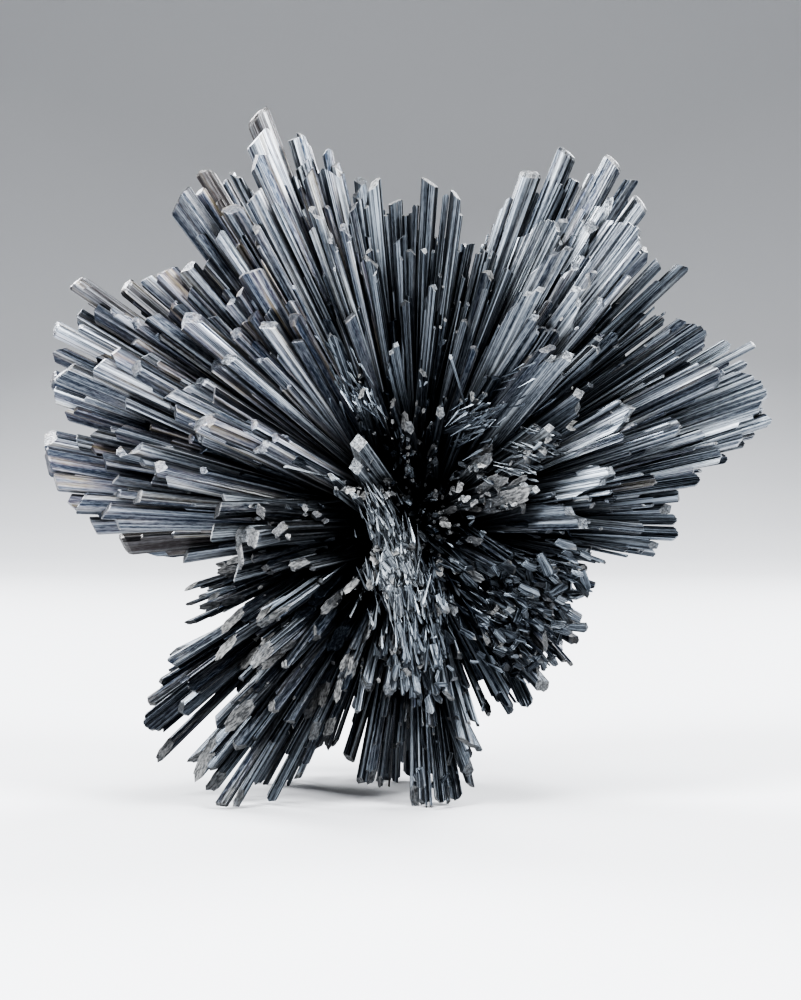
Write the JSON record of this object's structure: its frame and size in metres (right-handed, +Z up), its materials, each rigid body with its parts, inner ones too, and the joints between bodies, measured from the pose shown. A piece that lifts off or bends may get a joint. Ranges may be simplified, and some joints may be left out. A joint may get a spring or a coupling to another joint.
{
  "type": "stibnite specimen",
  "caption": "Radiating cluster of blunt, striated lead-grey stibnite prisms in fanned sheaves; a display mineral specimen that stands on its lowest crystals.",
  "frame": {"origin": "middle of the bounding box's bottom face, on the surface it stands on", "axes": "+X to the viewer's right as seen from the best side, +Y away from that viewer, +Z up"},
  "size_m": [0.1195, 0.0647, 0.1133],
  "materials": {
    "bright_stibnite": "satin",
    "dark_stibnite": "satin",
    "rough_stibnite": "matte"
  },
  "bodies": {
    "root": {"upper_left_sheaf": "bright_stibnite", "top_left_spires": "bright_stibnite", "upper_right_blades": "bright_stibnite", "right_blades": "bright_stibnite", "left_upper_sheaf": "bright_stibnite", "left_lower_sheaf": "bright_stibnite", "top_needles": "dark_stibnite", "upper_right_needles": "dark_stibnite", "right_spears": "dark_stibnite", "right_needles": "dark_stibnite", "lower_right_cluster": "dark_stibnite", "bottom_column": "dark_stibnite", "bottom_blades": "dark_stibnite", "lower_left_foot": "dark_stibnite", "lower_left_sheaf": "dark_stibnite", "lower_left_needles": "dark_stibnite", "centre_needles": "dark_stibnite", "back_upper_left_sheaf": "dark_stibnite", "back_upper_right_sheaf": "dark_stibnite", "back_left_sheaf": "dark_stibnite", "back_right_sheaf": "dark_stibnite", "back_left_foot": "dark_stibnite", "back_foot": "dark_stibnite", "back_lower_right_sheaf": "dark_stibnite", "left_stubs": "rough_stibnite", "centre_blades": "rough_stibnite", "centre_stubs": "rough_stibnite", "centre_right_stubs": "rough_stibnite", "back_centre_stubs": "rough_stibnite"}
  },
  "joints": []
}
